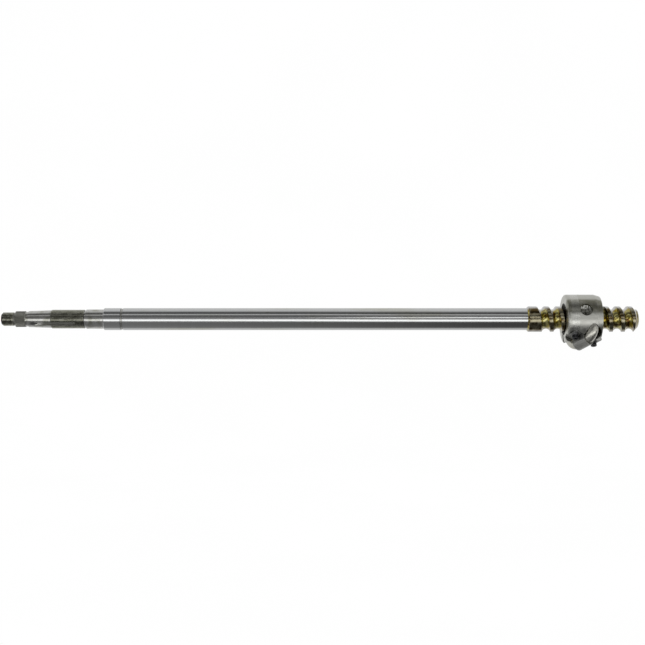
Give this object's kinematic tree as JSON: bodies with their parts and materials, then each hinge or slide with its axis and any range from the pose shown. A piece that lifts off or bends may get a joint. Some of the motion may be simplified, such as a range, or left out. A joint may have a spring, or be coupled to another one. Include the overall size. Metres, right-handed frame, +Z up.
{
  "type": "ball screw assembly",
  "caption": "Long steering shaft with a right-hand ball worm, and a recirculating ball nut with a strap-clamped return tube and a side peg socket.",
  "frame": {"origin": "centre of the shaft's lower end face, at the worm end, on the shaft axis", "axes": "+X along the shaft from the wheel end to the worm end, +Z up with the peg socket on the front (-Y) side, +Y to the rear"},
  "size_m": [0.7331, 0.0572, 0.0642],
  "materials": {
    "ground_steel": "ground and polished",
    "hardened_worm": "ground, under amber preservative oil",
    "spring_steel": "plain wire",
    "nut_steel": "turned, matt",
    "cup_steel": "turned and hardened",
    "pressed_steel": "pressed, satin",
    "strap_steel": "pressed, matt",
    "black_oxide": "black oxide",
    "washer_steel": "zinc, dull",
    "bearing_ball": "polished"
  },
  "bodies": {
    "retaining_ring": {"snap_ring": "spring_steel"},
    "shaft": {"steering_shaft": "ground_steel", "ball_worm": "hardened_worm"},
    "nut": {"ball_nut": "nut_steel", "peg_cup": "cup_steel", "return_tube_front": "pressed_steel", "return_tube_rear": "pressed_steel", "tube_clamp": "strap_steel", "lock_washers": "washer_steel", "clamp_screws": "black_oxide", "loaded_balls": "bearing_ball", "returning_balls": "bearing_ball"}
  },
  "joints": [
    {"name": "shaft_spin", "type": "hinge", "parent": "retaining_ring", "child": "shaft", "pos_m": [0, 0, 0], "axis": [1, 0, 0], "range_deg": [-1000, 790]},
    {"name": "nut_travel", "type": "slide", "parent": "retaining_ring", "child": "nut", "axis": [1, 0, 0], "range_m": [-0.03, 0.038]}
  ],
  "couplings": [
    {"joint": "nut_travel", "follows": "shaft_spin", "m_per_rad": -0.0021741}
  ]
}
